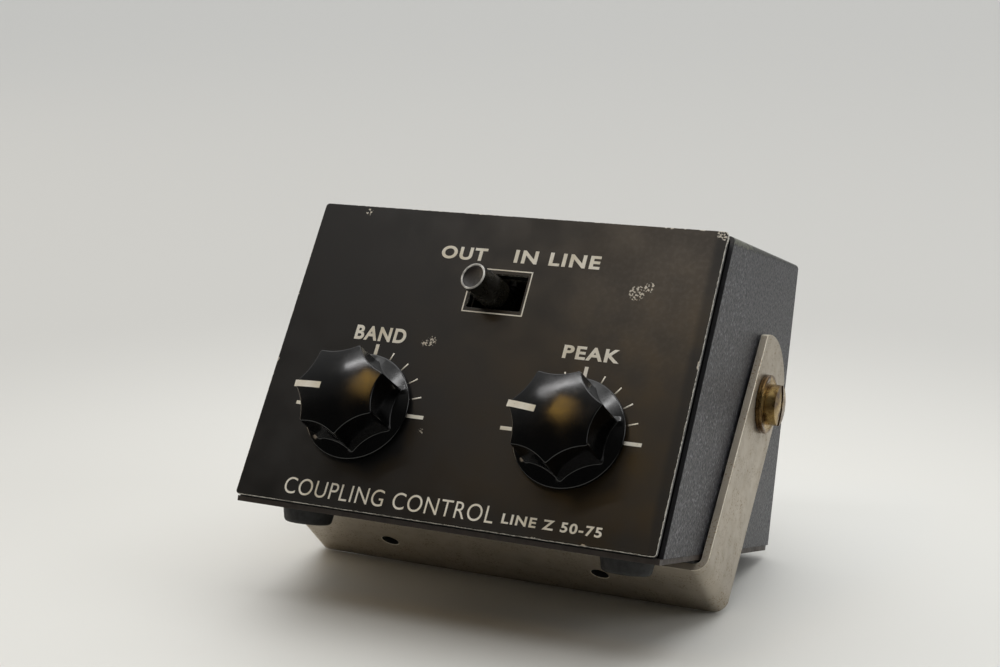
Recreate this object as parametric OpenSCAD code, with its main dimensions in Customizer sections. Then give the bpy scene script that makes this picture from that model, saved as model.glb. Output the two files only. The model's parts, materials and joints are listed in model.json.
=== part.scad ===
// Antenna tuner: a sloping-front desk console carried by a U bracket.
//
// Everything inside the case is drawn in case coordinates: X to the right, Y to the back
// with the back of the case at zero, Z up from the underside. The whole case is then tipped
// back onto its rear feet and the bracket, which is how it stands at rest on Z = 0.
// Things on the sloping front are drawn in panel coordinates: X to the right,
// Y up the slope from the plate's lower edge, Z straight out of the plate.

/* [Case] */
// Width of the cover, outside
case_w = 102.8; // [96:0.2:112]
// Height of the case, outside
case_h = 72; // [70:0.5:78]
// How far the foot of the front plate stands in front of the back of the case
base_depth = 86.5; // [84:0.5:96]
// Lean of the front plate against the back of the case, degrees
lean = 20; // [18:0.5:21]
// How far the whole case is tipped back at rest, degrees
tip = 15.9; // [14:0.1:17]
// Thickness of the cover sheet
cover_t = 1; // [0.8:0.1:1.2]
// Thickness of the chassis and base sheet
sheet_t = 1.2; // [1:0.1:1.5]

/* [Front plate] */
// Width of the front plate
plate_w = 102; // [100:0.5:104]
// Length of the front plate along the slope
plate_len = 75.3; // [73:0.1:76]
// Height of the plate's lower edge over the underside
plate_foot = 1.8; // [1.6:0.1:2.4]
// Bare black chassis left showing between plate and cover
reveal = 4; // [3:0.5:5]

/* [Knobs] */
// Distance of each knob axis from the middle
knob_x = 26; // [25:0.5:27]
// Distance of the knob axes up the slope
knob_y = 24; // [23:0.1:25]
// Radius over the ridges of a knob
knob_r = 11.2; // [10:0.1:11.5]
// Radius of the skirt of a knob
skirt_r = 12.9; // [12:0.1:13.2]
// Height of the top of a knob over the plate
knob_top = 13; // [12:0.1:14]
// Number of flutes round a knob
flutes = 7; // [6:1:9]
// Where the right knob stands, degrees clockwise from nine o'clock
right_set = 7; // [0:1:60]

/* [Lever switch] */
// Distance of the switch up the slope
switch_y = 55.9; // [54:0.1:57]
// Length of the slot across the panel
slot_w = 13.4; // [13:0.1:14]
// Height of the slot
slot_h = 8.8; // [8.4:0.1:9.4]
// Lean of the lever to the left at rest, degrees
lever_lean = 12; // [8:0.5:12]

/* [Bracket] */
// Thickness of the bracket strip
strap_t = 1.8; // [1.5:0.1:2]
// Width of the bracket strip
strap_w = 22; // [20:0.2:22.4]
// Pivot to the outside of the bracket's cross-bar
arm_len = 48.9; // [48.5:0.1:50]
// Outer radius of the two bends
bend_r = 3.4; // [3:0.2:4]
// Distance between the two fixing holes in the cross-bar
fixing_pitch = 54.6; // [40:0.2:70]
// Radius of the fixing holes
fixing_r = 2.1; // [1.5:0.1:2.6]

/* [Rear sockets] */
// Distance of each socket from the middle
socket_x = 26; // [22:0.5:28]
// Length of the threaded barrel behind the case
socket_out = 15.5; // [13:0.5:16]

/* [Hidden] */
$fn = 64;

LEFT = -1;
RIGHT = 1;
SIDES = [LEFT, RIGHT];
fit = 0.05;                          // radial clearance of a running fit
eps = 0.01;                          // overlap that keeps a cut clean

// Case
plate_t = 1.2;
plate_corner_r = 0.9;
half_in = case_w / 2 - cover_t;      // inside half width of the cover
chassis_w = 2 * half_in - 0.4;
cover_bend_r = 1.3;
fold_r = 2;                          // outer radius of the base plate's fold
flange_depth = 14;                   // side flanges of the chassis, from the plate's face
lip_w = 7;                           // turned-in lower edge of the cover
lip_y = -68;                         // front end of that lip
lip_len = 64;
gap = 0.02;                          // paper-thin gap between faces that meet
chassis_top = case_h - cover_t - 0.1;
chassis_low = sheet_t + gap;
top_flange = 11;                     // depth of the chassis' top flange
low_flange = 9;                      // depth of its bottom flange
floor_front = 1.9;                   // the floor starts this far behind the plate's foot
rear_top_flange = 10;                // turned-over top edge of the rear wall

// Small screws and nuts that hold the case together
case_screw_r = 1.5;
case_hole_r = case_screw_r + gap;
case_head_r = 2.75;
case_head_h = 1.6;
case_slot = 0.8;
case_nut_r = 3.17;
case_nut_h = 2.4;
flat_head_r = 2.7;                   // flush heads in the floor, as deep as the sheet
flat_slot_h = 0.5;
case_screw_len = 4.5;
top_screw_len = 5;
foot_screw_len = 7;
socket_screw_len = 7.5;
case_screw_y = [-64, -24];
chassis_screw_x = 20;
chassis_screw_y = -79.5;
top_screw_x = 38;
top_screw_y = -5.5;

// Feet
foot_r = 6.2;
foot_tip_r = 5.5;
foot_h = 4;
foot_x = 39.8;
foot_y = [-71.4, -14];
foot_recess_r = 3;
foot_recess_h = 2;

// Distance that brings the middle of the footprint over the origin
case_shift = 29.375;
// At rest the rear feet touch the floor with the back of their lower rims
case_lift = (foot_y[1] + foot_tip_r) * sin(tip) + foot_h * cos(tip);

// Bracket
pivot_y = -27.5;
pivot_z = case_h / 2;
spacer_t = 0.6;
arm_in = case_w / 2 + spacer_t;      // inner face of an arm
arm_out = arm_in + strap_t;
strap_back = 1.5;                    // the strip's middle line runs this far behind the pivot
tip_r = 17.2;                        // radius of the arm's end, round that middle line
pivot_hole_r = 2.55;
fixing_shift = 0.9;                  // the fixing holes sit this far in front of the middle
fixing_side = -1.1;                  // and this far to the side of it
pivot_world = [0, pivot_y * cos(tip) + pivot_z * sin(tip) + case_shift,
               -pivot_y * sin(tip) + pivot_z * cos(tip) + case_lift];
// The arms slope so that the cross-bar's rear edge just touches the floor
rear_edge = strap_w / 2 + strap_back;
arm_slope = asin(pivot_world[2] / norm([arm_len, rear_edge])) - atan2(rear_edge, arm_len);

// Pivot screws
screw_r = 2.5;
head_r = 4.85;
head_h = 2.9;
head_dome_r = 30;
head_slot = 1.4;
spacer_r = 6.5;
washer_r = 7;
washer_t = 1.5;
pivot_nut_h = 4;
pivot_nut_r = 4.6;

// Tuning capacitors, in panel coordinates round their own axis
shaft_r = 3;
bushing_r = 4.75;
bushing_top = 2.2;
wall_back = -plate_t - sheet_t;      // back of the chassis' front wall
cap_back = wall_back - 24;           // back of the capacitor's frame
cap_t = 1.6;
cap_half_w = 14;
cap_low = -11;
cap_high = 14;
post_inset = 1.6;
post_r = 1.5;
rod_hole_r = 2.2;
bushing_nut_r = 6.6;
bushing_nut_h = 1.9;
rotor_r = 9.6;
vane_t = 0.6;
vane_pitch = 2.8;
vanes = 6;
first_vane = wall_back - cap_t - 3;
stator_in = 4.9;
stator_out = 13;
rod_r = 1.1;
rod_at = 8.3;
rod_end = cap_back - 3;
rotor_hub_r = 4.3;

// Knobs
skirt_low = 0.6;
skirt_top = 2;
flute_dip = 0.95;                    // depth of a flute below the line between two ridges
ridge_half = 180 / flutes;
ridge_chord = knob_r * sin(ridge_half);
flute_r = (ridge_chord * ridge_chord + flute_dip * flute_dip) / (2 * flute_dip);
flute_at = knob_r * cos(ridge_half) - flute_dip + flute_r;
knob_cavity_r = 8.4;
knob_cavity_top = 4.2;
bore_top = 10.6;
set_screw_z = 7.4;
set_screw_r = 1.5;

// Lever switch
lever_pivot = -7.5;
lever_tip = 8.1;
lever_tip_r = 3.25;
lever_neck_r = 3.9;
lever_arm = 5.5;                     // pin to the ball that drives the slider
ball_r = 1.2;
pin_r = 1;
cheek_in = 6;
cheek_t = 0.8;
stud_x = 11.5;
stud_r = 1.25;
body_back = -16.5;
slider_half = 4.5;
contact_pitch = 5;
contact_row = 1.6;
contact_pin_r = 0.6;
contact_tail = 4;
switch_nut_r = 2.7;
switch_nut_h = 1.8;
stud_len = 3.6;
slider_shift = lever_arm * lever_lean * PI / 180;

// Rear sockets
socket_z = case_h / 2;
barrel_r = 7.9;
barrel_in_r = 6.3;
flange_half = 12.7;
flange_t = 1.6;
flange_screw = 9.1;
inner_barrel = 6;
contact_r = 2.5;
contact_bore_r = 2;
contact_in = -11;
contact_out = 11.5;
contact_bore_at = 0.7;               // floor of the contact's bore, outside the rear wall

// Coil
cheek_half = 10;
coil_y = -sheet_t - cheek_half;
coil_z = 59;
former_r = 8;
former_len = 40;
former_cheek = 2;
wire_r = 0.6;
turns = 11;
turn_pitch = 2.8;
turn_steps = 16;
coil_span = turns * turn_pitch;
coil_screw_r = 0.6;
hookup_r = 0.8;
solder = 0.25;                       // room for the solder between a wire and its tag
lug_len = 8;
lug_t = 0.6;

// Colours
black = [0.05, 0.05, 0.05];
hammer_grey = [0.36, 0.36, 0.37];
nickel = [0.66, 0.63, 0.58];
brass = [0.62, 0.5, 0.25];
steel = [0.7, 0.7, 0.72];

// ---------------------------------------------------------------- frames

module in_case() {
    translate([0, case_shift, case_lift]) rotate([-tip, 0, 0]) children();
}

module on_panel() {
    in_case() translate([0, -base_depth, plate_foot]) rotate([90 - lean, 0, 0]) children();
}

module at_knob(side) {
    on_panel() translate([side * knob_x, knob_y, 0]) children();
}

module at_switch() {
    on_panel() translate([0, switch_y, 0]) children();
}

// X across, Z up along the arms from the pivot, Y from the pivot to the rear edge of the strip
module on_bracket() {
    translate(pivot_world) rotate([arm_slope - 90, 0, 0]) children();
}

// Rear wall, looking at it from behind: Z of the children points out of the case
module on_rear(x, z) {
    in_case() translate([x, 0, z]) rotate([-90, 0, 0]) children();
}

// Case coordinates of a point given in panel coordinates
function panel_pt(x, y, z) = [x, -base_depth + y * sin(lean) - z * cos(lean),
                              plate_foot + y * cos(lean) + z * sin(lean)];

// Case Y of the plane at depth d behind the plate's face, at height z
function slope_y(z, d) = -base_depth + (z - plate_foot) * tan(lean) + d / cos(lean);

// ---------------------------------------------------------------- shared shapes

module tube(outer, inner, h) {
    difference() {
        cylinder(r = outer, h = h);
        translate([0, 0, -eps]) cylinder(r = inner, h = h + 2 * eps);
    }
}

module hex_nut(across_r, bore, h) {
    difference() {
        cylinder(r = across_r, h = h, $fn = 6);
        translate([0, 0, -eps]) cylinder(r = bore, h = h + 2 * eps);
    }
}

// Screw standing on its shank: head from z = 0 up, shank down, with a slot or none
module slotted_screw(r, len, head, h, slot) {
    difference() {
        union() {
            cylinder(r = head, h = h);
            translate([0, 0, -len]) cylinder(r = r, h = len + eps);
        }
        translate([-head - 1, -slot / 2, h * 0.55]) cube([2 * head + 2, slot, h]);
    }
}

module case_screw(len) {
    slotted_screw(case_screw_r, len, case_head_r, case_head_h, case_slot);
}

// Flush screw standing head up, with its flat top at z = 0
module flat_screw(len) {
    difference() {
        union() {
            translate([0, 0, -sheet_t]) cylinder(r1 = case_screw_r, r2 = flat_head_r, h = sheet_t);
            translate([0, 0, -len]) cylinder(r = case_screw_r, h = len - sheet_t + eps);
        }
        translate([-flat_head_r - 1, -case_slot / 2, -flat_slot_h])
            cube([2 * flat_head_r + 2, case_slot, 1]);
    }
}

// The hole it goes into, from below the floor
module flat_screw_hole() {
    translate([0, 0, -eps]) cylinder(r1 = flat_head_r + gap, r2 = case_hole_r, h = sheet_t + eps);
    cylinder(r = case_hole_r, h = 2 * sheet_t);
}

module case_nut() {
    hex_nut(case_nut_r, case_hole_r, case_nut_h);
}

module slab(w, h, t, r) {
    linear_extrude(t) difference() {
        square([w, h], center = true);
        for (i = SIDES, j = SIDES) translate([i * (w / 2 - r), j * (h / 2 - r)]) difference() {
            translate([i > 0 ? 0 : -r - eps, j > 0 ? 0 : -r - eps]) square(r + eps);
            circle(r = r);
        }
    }
}

// A profile drawn in case Y and Z, given a width across the case
module across(w) {
    rotate([90, 0, 90]) translate([0, 0, -w / 2]) linear_extrude(w) children();
}

// Round wire swept along a list of points; it never runs along the direction "over".
// Every side face is split into two triangles, so that its surface is certain.
module swept_wire(path, r, over, sides = 8) {
    n = len(path);
    points = [for (i = [0 : n - 1])
        let (d = path[min(i + 1, n - 1)] - path[max(i - 1, 0)],
             t = d / norm(d),
             side = cross(t, over),
             u = side / norm(side),
             v = cross(u, t))
        for (k = [0 : sides - 1])
            path[i] + r * (cos(360 * k / sides) * u + sin(360 * k / sides) * v)];
    faces = concat(
        [[for (k = [0 : sides - 1]) k]],
        [[for (k = [sides - 1 : -1 : 0]) (n - 1) * sides + k]],
        [for (i = [0 : n - 2], k = [0 : sides - 1])
            [i * sides + k, (i + 1) * sides + k, i * sides + (k + 1) % sides]],
        [for (i = [0 : n - 2], k = [0 : sides - 1])
            [(i + 1) * sides + k, (i + 1) * sides + (k + 1) % sides, i * sides + (k + 1) % sides]]);
    polyhedron(points = points, faces = faces, convexity = 6);
}

// Smooth run between two ends that leave in given directions
function run(a, b, c, d, steps = 14) = [for (i = [0 : steps])
    let (t = i / steps, s = 1 - t)
    s * s * s * a + 3 * s * s * t * b + 3 * s * t * t * c + t * t * t * d];

module hookup(a, leave, arrive, b, over) {
    in_case() swept_wire(run(a, a + leave, b + arrive, b), hookup_r, over);
}

// ---------------------------------------------------------------- case

module panel_holes() {
    for (s = SIDES) translate([s * knob_x, knob_y, wall_back - 1])
        cylinder(r = bushing_r + 0.1, h = 6);
    translate([-slot_w / 2, switch_y - slot_h / 2, wall_back - 1]) cube([slot_w, slot_h, 6]);
}

module front_plate() {
    color(black) on_panel() difference() {
        translate([0, plate_len / 2, -plate_t]) slab(plate_w, plate_len, plate_t, plate_corner_r);
        panel_holes();
    }
}

module flange_outline(from, to, low, high) {
    polygon([[slope_y(low, from), low], [slope_y(low, to), low],
             [slope_y(high, to), high], [slope_y(high, from), high]]);
}

module chassis() {
    wall_d = plate_t + sheet_t;
    color(black) {
        in_case() difference() {
            union() {
                across(chassis_w) flange_outline(plate_t, wall_d, chassis_low, chassis_top);
                across(chassis_w) flange_outline(plate_t, top_flange,
                    chassis_top - sheet_t, chassis_top);
                across(2 * foot_x) flange_outline(plate_t, low_flange,
                    chassis_low, chassis_low + sheet_t);
                for (s = SIDES) translate([s * (chassis_w - sheet_t) / 2, 0, 0])
                    across(sheet_t) flange_outline(plate_t, flange_depth,
                        sheet_t + cover_t + 0.2, chassis_top);
            }
            translate([0, -base_depth, plate_foot]) rotate([90 - lean, 0, 0]) panel_holes();
            for (s = SIDES) translate([s * chassis_screw_x, chassis_screw_y, 0])
                cylinder(r = case_hole_r, h = 4);
        }
        at_switch() for (s = SIDES) translate([s * stud_x, 0, wall_back - stud_len])
            cylinder(r = stud_r, h = stud_len + eps);
    }
}

module base_plate() {
    back_w = 2 * half_in - 0.2;
    color(hammer_grey) in_case() difference() {
        union() {
            translate([-case_w / 2, -base_depth + floor_front, 0])
                cube([case_w, base_depth - floor_front - fold_r, sheet_t]);
            across(back_w) difference() {
                union() {
                    translate([-fold_r, fold_r]) circle(r = fold_r);
                    translate([-sheet_t, fold_r]) square([sheet_t, chassis_top - fold_r]);
                    translate([-rear_top_flange, chassis_top - sheet_t])
                        square([rear_top_flange, sheet_t]);
                }
                translate([-fold_r, fold_r]) circle(r = fold_r - sheet_t);
                translate([-2 * fold_r - 1, -1]) square([fold_r + 1, 3 * fold_r]);
                translate([-fold_r - 1, fold_r]) square([fold_r + 1 - sheet_t, fold_r]);
            }
        }
        for (s = SIDES, y = case_screw_y) translate([s * (half_in - lip_w / 2), y, 0])
            flat_screw_hole();
        for (s = SIDES, y = foot_y) translate([s * foot_x, y, -1])
            cylinder(r = case_hole_r, h = 3);
        for (s = SIDES) translate([s * chassis_screw_x, chassis_screw_y, 0]) flat_screw_hole();
        for (s = SIDES) translate([s * top_screw_x, top_screw_y, chassis_top - 3])
            cylinder(r = case_hole_r, h = 4);
        for (s = SIDES) translate([s * socket_x, -3, socket_z]) rotate([-90, 0, 0]) {
            cylinder(r = barrel_in_r + 1, h = 4);
            for (i = SIDES, j = SIDES) translate([i * flange_screw, j * flange_screw, 0])
                cylinder(r = case_hole_r, h = 4);
        }
        for (s = SIDES) translate([s * (former_len / 2 - 1), -3, coil_z]) rotate([-90, 0, 0])
            cylinder(r = coil_screw_r + gap, h = 4);
    }
}

module cover_shell(half, top, r) {
    union() {
        translate([-half, 0]) square([2 * half, top - r]);
        translate([-half + r, 0]) square([2 * (half - r), top]);
        for (s = SIDES) translate([s * (half - r), top - r]) circle(r = r);
    }
}

module cover() {
    front = reveal;
    low = sheet_t + gap;
    color(hammer_grey) in_case() difference() {
        union() {
            intersection() {
                rotate([90, 0, 0]) linear_extrude(base_depth) difference() {
                    cover_shell(case_w / 2, case_h, cover_bend_r);
                    cover_shell(half_in, case_h - cover_t, cover_bend_r - cover_t);
                }
                across(case_w + 2) polygon([[slope_y(low, front), low], [0, low], [0, case_h + 1],
                    [slope_y(case_h + 1, front), case_h + 1]]);
            }
            for (s = SIDES) translate([s > 0 ? half_in - lip_w : -half_in - eps, lip_y, low])
                cube([lip_w + eps, lip_len, cover_t]);
        }
        for (s = SIDES, y = case_screw_y) translate([s * (half_in - lip_w / 2), y, -1])
            cylinder(r = case_hole_r, h = 5);
        for (s = SIDES) translate([s * top_screw_x, top_screw_y, case_h - 3])
            cylinder(r = case_hole_r, h = 4);
        for (s = SIDES) translate([s * half_in - 3, pivot_y, pivot_z]) rotate([0, 90, 0])
            cylinder(r = screw_r + gap, h = 6);
    }
}

module cover_screws() {
    color(steel) in_case() {
        for (s = SIDES, y = case_screw_y) translate([s * (half_in - lip_w / 2), y, 0])
            rotate([180, 0, 0]) flat_screw(case_screw_len);
        for (s = SIDES) translate([s * top_screw_x, top_screw_y, case_h])
            case_screw(top_screw_len);
    }
}

module chassis_screws() {
    color(steel) in_case() for (s = SIDES) translate([s * chassis_screw_x, chassis_screw_y, 0])
        rotate([180, 0, 0]) flat_screw(case_screw_len);
}

// ---------------------------------------------------------------- feet

module foot(side, y) {
    color(black) in_case() translate([side * foot_x, y, -foot_h]) difference() {
        cylinder(r1 = foot_tip_r, r2 = foot_r, h = foot_h);
        translate([0, 0, -eps]) cylinder(r = foot_recess_r, h = foot_recess_h + 2 * eps);
        translate([0, 0, -eps]) cylinder(r = case_hole_r, h = foot_h + 2 * eps);
    }
}

module foot_front_left() { foot(LEFT, foot_y[0]); }

module foot_front_right() { foot(RIGHT, foot_y[0]); }

module foot_rear_left() { foot(LEFT, foot_y[1]); }

module foot_rear_right() { foot(RIGHT, foot_y[1]); }

module foot_screws() {
    color(steel) in_case() for (s = SIDES, y = foot_y)
        translate([s * foot_x, y, foot_recess_h - foot_h]) rotate([180, 0, 0])
            case_screw(foot_screw_len);
}

module foot_nuts() {
    color(steel) in_case() for (s = SIDES, y = foot_y) translate([s * foot_x, y, sheet_t])
        case_nut();
}

// ---------------------------------------------------------------- bracket

module strap_outline(half, low, r, high) {
    union() {
        translate([-half, low + r]) square([2 * half, high - low - r]);
        translate([-half + r, low]) square([2 * (half - r), r + eps]);
        for (s = SIDES) translate([s * (half - r), low + r]) circle(r = r);
    }
}

module bracket() {
    color(nickel) on_bracket() difference() {
        intersection() {
            translate([0, rear_edge, 0]) rotate([90, 0, 0]) linear_extrude(strap_w) difference() {
                strap_outline(arm_out, -arm_len, bend_r, tip_r + 1);
                strap_outline(arm_in, strap_t - arm_len, bend_r - strap_t, tip_r + 2);
            }
            translate([0, strap_back, 0]) rotate([0, 90, 0]) union() {
                cylinder(r = tip_r, h = 3 * arm_out, center = true);
                translate([0, -strap_w, -1.5 * arm_out])
                    cube([arm_len + 1, 2 * strap_w, 3 * arm_out]);
            }
        }
        rotate([0, 90, 0]) cylinder(r = pivot_hole_r, h = 3 * arm_out, center = true);
        for (s = SIDES)
            translate([fixing_side + s * fixing_pitch / 2, strap_back - fixing_shift, -arm_len - 1])
                cylinder(r = fixing_r, h = 4);
    }
}

// Children stand on the case's side at the pivot, Z outwards
module at_pivot(side) {
    in_case() translate([0, pivot_y, pivot_z]) rotate([0, side * 90, 0]) children();
}

module pivot_screws() {
    under_head = arm_out + washer_t + 3 * gap;
    color(brass) for (s = SIDES) at_pivot(s) difference() {
        union() {
            translate([0, 0, under_head]) intersection() {
                cylinder(r = head_r, h = head_h);
                translate([0, 0, head_h - head_dome_r]) sphere(r = head_dome_r);
            }
            translate([0, 0, half_in - pivot_nut_h - 1])
                cylinder(r = screw_r, h = under_head - half_in + pivot_nut_h + 1 + eps);
        }
        translate([-head_r - 1, -head_slot / 2, under_head + head_h * 0.5])
            cube([2 * head_r + 2, head_slot, head_h]);
    }
}

module pivot_washers() {
    color(brass) for (s = SIDES) at_pivot(s) translate([0, 0, arm_out + 2 * gap])
        tube(washer_r, screw_r + gap, washer_t);
}

module spacer_washers() {
    color(black) for (s = SIDES) at_pivot(s) translate([0, 0, case_w / 2])
        tube(spacer_r, screw_r + gap, spacer_t - 2 * gap);
}

module pivot_nuts() {
    color(steel) for (s = SIDES) at_pivot(s) translate([0, 0, half_in - pivot_nut_h])
        hex_nut(pivot_nut_r, screw_r + gap, pivot_nut_h);
}

// ---------------------------------------------------------------- tuning controls

function knob_turn(side) = side == RIGHT ? -right_set : 0;

module knob_outline() {
    difference() {
        circle(r = knob_r);
        for (i = [0 : flutes - 1]) rotate((i + 0.5) * 2 * ridge_half)
            translate([-flute_at, 0]) circle(r = flute_r);
    }
}

// The pointer ridge is at nine o'clock; the set screw comes in from three o'clock
module knob(side) {
    color(black) at_knob(side) rotate(knob_turn(side)) difference() {
        union() {
            translate([0, 0, skirt_low]) cylinder(r = skirt_r, h = skirt_top - skirt_low);
            translate([0, 0, skirt_top - eps])
                linear_extrude(knob_top - skirt_top + eps) knob_outline();
        }
        translate([0, 0, skirt_low - eps])
            cylinder(r = knob_cavity_r, h = knob_cavity_top - skirt_low);
        cylinder(r = shaft_r + gap, h = bore_top);
        translate([0, 0, set_screw_z]) rotate([0, 90, 0])
            cylinder(r = set_screw_r + gap, h = knob_r + 1);
    }
}

module set_screw(side) {
    color(steel) at_knob(side) rotate(knob_turn(side)) translate([shaft_r, 0, set_screw_z])
        rotate([0, 90, 0]) difference() {
            cylinder(r = set_screw_r, h = 4);
            translate([-2, -0.25, 3.2]) cube([4, 0.5, 1]);
        }
}

module shaft(side) {
    low = cap_back - 1.2;
    color(brass) at_knob(side) translate([0, 0, low]) cylinder(r = shaft_r, h = bore_top - 0.4 - low);
}

// Half-round vanes on a hub; at nine o'clock they hang below the stator, out of mesh
module rotor(side) {
    hub_low = first_vane - (vanes - 1) * vane_pitch - 1;
    color("silver") at_knob(side) rotate(knob_turn(side)) difference() {
        union() {
            translate([0, 0, hub_low]) cylinder(r = rotor_hub_r, h = first_vane + vane_t + 1 - hub_low);
            for (i = [0 : vanes - 1]) translate([0, 0, first_vane - i * vane_pitch])
                linear_extrude(vane_t) difference() {
                    circle(r = rotor_r);
                    translate([-rotor_r - 1, 0]) square([2 * rotor_r + 2, rotor_r + 1]);
                }
        }
        translate([0, 0, cap_back]) cylinder(r = shaft_r + gap, h = 40);
    }
}

module stator(side) {
    color("silver") at_knob(side) {
        for (i = [0 : vanes - 2]) translate([0, 0, first_vane - (i + 0.5) * vane_pitch])
            linear_extrude(vane_t) difference() {
                circle(r = stator_out);
                circle(r = stator_in);
                translate([-stator_out - 1, -stator_out]) square([2 * stator_out + 2, stator_out + 0.8]);
            }
        for (s = SIDES) translate([s * rod_at, rod_at, rod_end])
            cylinder(r = rod_r, h = wall_back - 0.4 - rod_end);
    }
}

// Front and back plates with a threaded bushing, tied by four posts
module frame(side) {
    color(nickel) at_knob(side) difference() {
        union() {
            for (z = [wall_back - cap_t, cap_back]) translate([-cap_half_w, cap_low, z])
                cube([2 * cap_half_w, cap_high - cap_low, cap_t]);
            for (s = SIDES, y = [cap_low + post_inset, cap_high - post_inset])
                translate([s * (cap_half_w - post_inset), y, cap_back])
                    cylinder(r = post_r, h = wall_back - cap_back);
            translate([0, 0, wall_back - cap_t])
                cylinder(r = bushing_r, h = bushing_top - wall_back + cap_t);
        }
        translate([0, 0, cap_back - 1]) cylinder(r = shaft_r + fit, h = 40);
        for (s = SIDES) translate([s * rod_at, rod_at, cap_back - 1])
            cylinder(r = rod_hole_r, h = wall_back - cap_back + 2);
    }
}

module insulators(side) {
    color("white") at_knob(side) for (s = SIDES, z = [wall_back - cap_t, cap_back])
        translate([s * rod_at, rod_at, z]) tube(rod_hole_r, rod_r, cap_t);
}

module bushing_nut(side) {
    color(nickel) at_knob(side) hex_nut(bushing_nut_r, bushing_r + gap, bushing_nut_h);
}

module left_knob() { knob(LEFT); }

module left_set_screw() { set_screw(LEFT); }

module left_shaft() { shaft(LEFT); }

module left_rotor() { rotor(LEFT); }

module left_stator() { stator(LEFT); }

module left_frame() { frame(LEFT); }

module left_insulators() { insulators(LEFT); }

module left_bushing_nut() { bushing_nut(LEFT); }

module right_knob() { knob(RIGHT); }

module right_set_screw() { set_screw(RIGHT); }

module right_shaft() { shaft(RIGHT); }

module right_rotor() { rotor(RIGHT); }

module right_stator() { stator(RIGHT); }

module right_frame() { frame(RIGHT); }

module right_insulators() { insulators(RIGHT); }

module right_bushing_nut() { bushing_nut(RIGHT); }

// ---------------------------------------------------------------- lever switch

// The lever turns about a pin that runs up the slope, behind the panel
module switch_lever() {
    color(black) at_switch() translate([0, 0, lever_pivot]) rotate([0, -lever_lean, 0])
        difference() {
            union() {
                translate([0, 0, -lever_pivot - 1.6])
                    cylinder(r1 = lever_neck_r, r2 = lever_tip_r, h = lever_tip + 1.6);
                translate([-2.2, -2.6, 0]) cube([4.4, 5.2, -lever_pivot - 1.5]);
                rotate([90, 0, 0]) cylinder(r = 2.6, h = 8, center = true);
                translate([0, 0, -lever_arm]) cylinder(r = 0.9, h = lever_arm);
                translate([0, 0, -lever_arm]) sphere(r = ball_r);
            }
            rotate([90, 0, 0]) cylinder(r = pin_r + fit, h = 12, center = true);
        }
}

module switch_pin() {
    color(steel) at_switch() translate([0, 0, lever_pivot]) rotate([90, 0, 0])
        cylinder(r = pin_r, h = 2 * (cheek_in + cheek_t), center = true);
}

module switch_slider() {
    color("ivory") at_switch() translate([slider_shift, 0, lever_pivot - lever_arm]) difference() {
        translate([-slider_half, -3, -1.4]) cube([2 * slider_half, 6, 2.8]);
        translate([0, 0, -2]) cylinder(r = ball_r + 0.2, h = 4);
    }
}

module switch_frame() {
    cheek_h = wall_back - body_back;
    color(nickel) at_switch() difference() {
        union() {
            translate([-stud_x - 3, -cheek_in - cheek_t, wall_back - cheek_t])
                cube([2 * stud_x + 6, 2 * (cheek_in + cheek_t), cheek_t]);
            for (s = SIDES) translate([-8, s > 0 ? cheek_in : -cheek_in - cheek_t, body_back])
                cube([16, cheek_t, cheek_h]);
        }
        translate([-slot_w / 2, -slot_h / 2, wall_back - 2]) cube([slot_w, slot_h, 3]);
        for (s = SIDES) translate([s * stud_x, 0, wall_back - 2]) cylinder(r = stud_r + 0.1, h = 3);
        translate([0, 0, lever_pivot]) rotate([90, 0, 0])
            cylinder(r = pin_r, h = 20, center = true);
    }
}

module each_contact() {
    for (i = [-1 : 1], j = SIDES) translate([i * contact_pitch, j * contact_row, 0]) children();
}

module switch_body() {
    color([0.35, 0.16, 0.08]) at_switch() difference() {
        translate([-9, -cheek_in, body_back]) cube([18, 2 * cheek_in, 4.8]);
        translate([-10, -3.1, body_back + 2]) cube([20, 6.2, 4]);
        each_contact() translate([0, 0, body_back - 1]) cylinder(r = contact_pin_r, h = 5);
    }
}

module switch_contacts() {
    color(brass) at_switch() each_contact() translate([0, 0, body_back - contact_tail])
        cylinder(r = contact_pin_r, h = contact_tail + 2);
}

module switch_nuts() {
    color(steel) at_switch() for (s = SIDES) translate([s * stud_x, 0, wall_back - cheek_t - switch_nut_h])
        hex_nut(switch_nut_r, stud_r + gap, switch_nut_h);
}

// ---------------------------------------------------------------- rear sockets

module socket(side) {
    color(nickel) on_rear(side * socket_x, socket_z) difference() {
        union() {
            translate([-flange_half, -flange_half, 0]) cube([2 * flange_half, 2 * flange_half, flange_t]);
            cylinder(r = barrel_r, h = socket_out);
            translate([0, 0, -inner_barrel]) cylinder(r = barrel_in_r + 0.8, h = inner_barrel + eps);
        }
        translate([0, 0, -inner_barrel - 1]) cylinder(r = barrel_in_r, h = socket_out + inner_barrel + 2);
        for (i = SIDES, j = SIDES) translate([i * flange_screw, j * flange_screw, -1])
            cylinder(r = case_hole_r, h = 4);
    }
}

module socket_insulator(side) {
    color("ivory") on_rear(side * socket_x, socket_z) translate([0, 0, -inner_barrel])
        tube(barrel_in_r, contact_r, inner_barrel + 9);
}

module socket_contact(side) {
    color(brass) on_rear(side * socket_x, socket_z) difference() {
        translate([0, 0, contact_in]) cylinder(r = contact_r, h = contact_out - contact_in);
        translate([0, 0, contact_bore_at]) cylinder(r = contact_bore_r, h = contact_out);
    }
}

module left_socket() { socket(LEFT); }

module left_socket_insulator() { socket_insulator(LEFT); }

module left_socket_contact() { socket_contact(LEFT); }

module right_socket() { socket(RIGHT); }

module right_socket_insulator() { socket_insulator(RIGHT); }

module right_socket_contact() { socket_contact(RIGHT); }

module each_flange_screw() {
    for (s = SIDES) on_rear(s * socket_x, socket_z) for (i = SIDES, j = SIDES)
        translate([i * flange_screw, j * flange_screw, 0]) children();
}

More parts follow.
